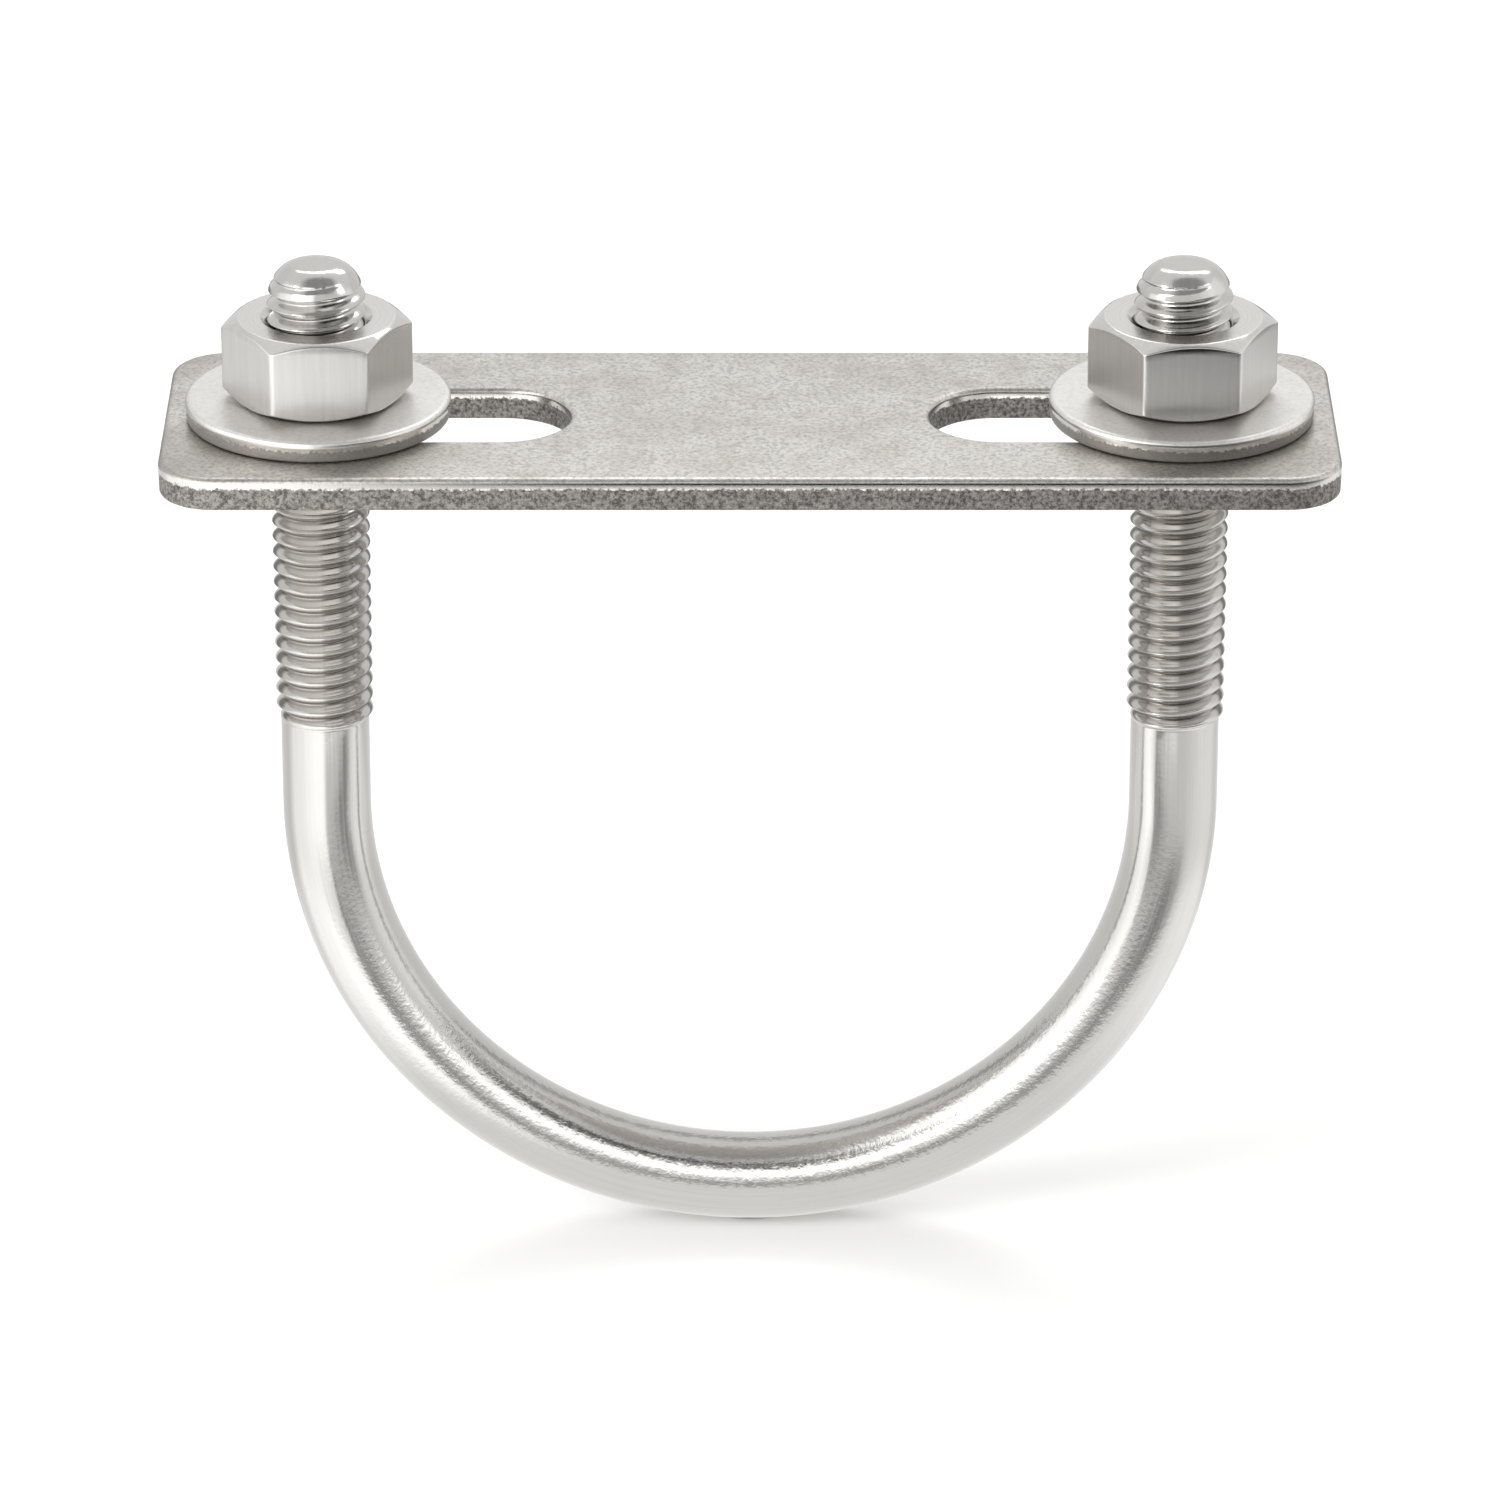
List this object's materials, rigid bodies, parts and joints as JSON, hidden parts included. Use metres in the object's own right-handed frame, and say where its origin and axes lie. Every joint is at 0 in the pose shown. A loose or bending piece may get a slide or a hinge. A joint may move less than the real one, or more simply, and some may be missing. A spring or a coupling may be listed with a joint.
{
  "type": "u-bolt",
  "caption": "Bent round U-bolt with two threaded legs, a slotted clamping plate, flat washers and hexagon nuts, set around the space for a round pipe.",
  "frame": {"origin": "centre of the bend, on the axis of the pipe that the bolt goes round", "axes": "+Z along the legs towards their threaded tips, +Y along the pipe's axis, +X from the left leg to the right leg; right-handed, metres"},
  "size_m": [0.0706, 0.021, 0.0637],
  "materials": {
    "bolt_rod": "bright drawn stainless rod with rolled threads",
    "plate": "tumbled matte stainless sheet with sheared edges",
    "washer": "satin stamped stainless",
    "nut": "bright pressed and machined stainless"
  },
  "bodies": {
    "u_bolt": {"u_bolt": "bolt_rod"},
    "plate": {"slotted_plate": "plate"},
    "washer_left": {"washer_left": "washer"},
    "washer_right": {"washer_right": "washer"},
    "nut_left": {"nut_left": "nut"},
    "nut_right": {"nut_right": "nut"}
  },
  "joints": [
    {"name": "plate_slide", "type": "slide", "parent": "u_bolt", "child": "plate", "axis": [0, 0, 1], "range_m": [-0.0437, 0]},
    {"name": "washer_left_slide", "type": "slide", "parent": "u_bolt", "child": "washer_left", "axis": [0, 0, 1], "range_m": [0, 0.012]},
    {"name": "nut_left_turn", "type": "hinge", "parent": "washer_left", "child": "nut_left", "pos_m": [-0.026, 0, 0.0272], "axis": [0, 0, 1], "range_deg": [0, 4325]},
    {"name": "washer_right_slide", "type": "slide", "parent": "u_bolt", "child": "washer_right", "axis": [0, 0, 1], "range_m": [0, 0.012]},
    {"name": "nut_right_turn", "type": "hinge", "parent": "washer_right", "child": "nut_right", "pos_m": [0.026, 0, 0.0272], "axis": [0, 0, 1], "range_deg": [0, 4325]}
  ],
  "couplings": [
    {"joint": "nut_left_turn", "follows": "washer_left_slide", "rad_per_m": 6283.2},
    {"joint": "nut_right_turn", "follows": "washer_right_slide", "rad_per_m": 6283.2}
  ]
}
